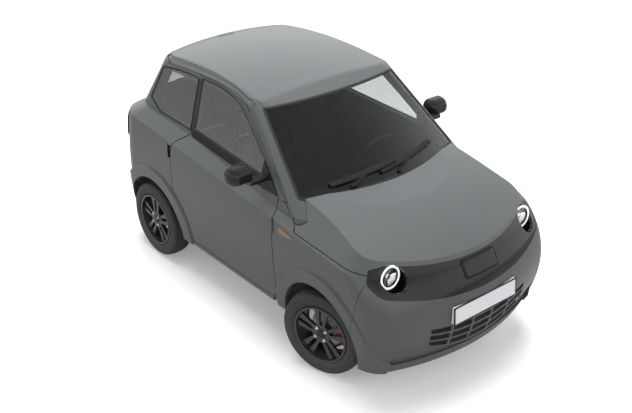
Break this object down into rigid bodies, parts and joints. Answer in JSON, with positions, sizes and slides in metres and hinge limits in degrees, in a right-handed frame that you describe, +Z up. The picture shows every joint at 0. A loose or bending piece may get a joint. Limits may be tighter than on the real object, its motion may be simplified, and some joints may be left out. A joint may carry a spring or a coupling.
{
  "type": "two-seat microcar",
  "caption": "Small city car: arched cabin, opening doors, bonnet and tailgate, front wheels steered with rack and steering wheel, all wheels turn freely.",
  "frame": {"origin": "on the ground under the middle of the car's overall box", "axes": "+X forward, +Y to the car's left, +Z up"},
  "size_m": [2.96, 1.8158, 1.5409],
  "materials": {
    "paint": "satin grey paint",
    "glass": "tinted clear glass",
    "black_plastic": "grained black plastic",
    "gloss_black": "gloss black plastic",
    "lamp": "white and clear lamp body",
    "lens": "clear lamp cover",
    "amber": "amber lens",
    "red_lens": "smoked red lens",
    "plate": "blank pale plate",
    "tyre": "black rubber",
    "alloy": "black painted alloy",
    "steel": "machined steel",
    "cast": "dark cast metal",
    "red_cast": "red painted casting",
    "frame_paint": "black painted steel",
    "fabric": "dark woven cloth"
  },
  "bodies": {
    "body": {"arch_liners": "black_plastic", "body_sides": "paint", "chassis": "frame_paint", "cowl": "black_plastic", "dampers": "frame_paint", "dashboard": "black_plastic", "drive_shafts": "steel", "engine": "cast", "floor_pan": "frame_paint", "front_arms": "frame_paint", "front_band": "gloss_black", "front_bumper": "paint", "front_wings": "paint", "headlamp_lenses": "lens", "headlamps": "lamp", "lower_grille": "black_plastic", "number_plate": "plate", "quarter_glass": "glass", "rear_axle": "frame_paint", "rear_bumper": "paint", "roof": "paint", "seat_backs": "fabric", "seat_cushions": "fabric", "seat_frames": "frame_paint", "side_repeaters": "amber", "steering_column": "black_plastic", "steering_gear": "cast", "tail_lamps": "red_lens", "windscreen": "glass", "wipers": "black_plastic"},
    "door_left": {"door_left": "paint", "door_glass_left": "glass", "mirror_left": "gloss_black"},
    "door_right": {"door_right": "paint", "door_glass_right": "glass", "mirror_right": "gloss_black"},
    "bonnet": {"bonnet": "paint"},
    "tailgate": {"tailgate": "paint", "tailgate_glass": "glass"},
    "knuckle_left": {"knuckle_left": "cast", "calliper_left": "red_cast"},
    "knuckle_right": {"knuckle_right": "cast", "calliper_right": "red_cast"},
    "wheel_front_left": {"tyre_front_left": "tyre", "rim_front_left": "alloy", "brake_disc_left": "steel"},
    "wheel_front_right": {"tyre_front_right": "tyre", "rim_front_right": "alloy", "brake_disc_right": "steel"},
    "wheel_rear_left": {"tyre_rear_left": "tyre", "rim_rear_left": "alloy"},
    "wheel_rear_right": {"tyre_rear_right": "tyre", "rim_rear_right": "alloy"},
    "steering_wheel": {"steering_wheel": "black_plastic"},
    "steering_rack": {"steering_rack": "steel"}
  },
  "joints": [
    {"name": "door_left_hinge", "type": "hinge", "parent": "body", "child": "door_left", "pos_m": [0.394, 0.741, 0.85], "axis": [0, 0, -1], "range_deg": [0, 65]},
    {"name": "door_right_hinge", "type": "hinge", "parent": "body", "child": "door_right", "pos_m": [0.394, -0.741, 0.85], "axis": [0, 0, 1], "range_deg": [0, 65]},
    {"name": "bonnet_hinge", "type": "hinge", "parent": "body", "child": "bonnet", "pos_m": [0.48, 0, 1.01], "axis": [0, -1, 0], "range_deg": [0, 45]},
    {"name": "tailgate_hinge", "type": "hinge", "parent": "body", "child": "tailgate", "pos_m": [-1.085, 0, 1.4903], "axis": [0, 1, 0], "range_deg": [0, 75]},
    {"name": "steer_right", "type": "hinge", "parent": "body", "child": "knuckle_right", "pos_m": [0.798, -0.612, 0.278], "axis": [0, 0, 1], "range_deg": [-46, 14]},
    {"name": "steer_left", "type": "hinge", "parent": "body", "child": "knuckle_left", "pos_m": [0.798, 0.612, 0.278], "axis": [0, 0, 1], "range_deg": [-46, 14]},
    {"name": "rack_slide", "type": "slide", "parent": "body", "child": "steering_rack", "axis": [0, 1, 0], "range_m": [-0.0225, 0.0739]},
    {"name": "steering_wheel_turn", "type": "hinge", "parent": "body", "child": "steering_wheel", "pos_m": [0.175, 0.3, 0.93], "axis": [-0.8829, 0, 0.4695], "range_deg": [-644, 196]},
    {"name": "spin_front_left", "type": "hinge", "parent": "knuckle_left", "child": "wheel_front_left", "pos_m": [0.78477, 0.65814, 0.278], "axis": [-0.2756, 0.9613, 0], "continuous": true},
    {"name": "spin_front_right", "type": "hinge", "parent": "knuckle_right", "child": "wheel_front_right", "pos_m": [0.81123, -0.65814, 0.278], "axis": [-0.2756, 0.9613, 0], "continuous": true},
    {"name": "spin_rear_left", "type": "hinge", "parent": "body", "child": "wheel_rear_left", "pos_m": [-1.026, 0.66, 0.278], "axis": [0, 1, 0], "continuous": true},
    {"name": "spin_rear_right", "type": "hinge", "parent": "body", "child": "wheel_rear_right", "pos_m": [-1.026, -0.66, 0.278], "axis": [0, 1, 0], "continuous": true}
  ],
  "couplings": [
    {"joint": "steer_left", "follows": "steer_right", "ratio": 1},
    {"joint": "rack_slide", "follows": "steer_right", "m_per_rad": -0.092},
    {"joint": "steering_wheel_turn", "follows": "steer_right", "ratio": 14}
  ]
}
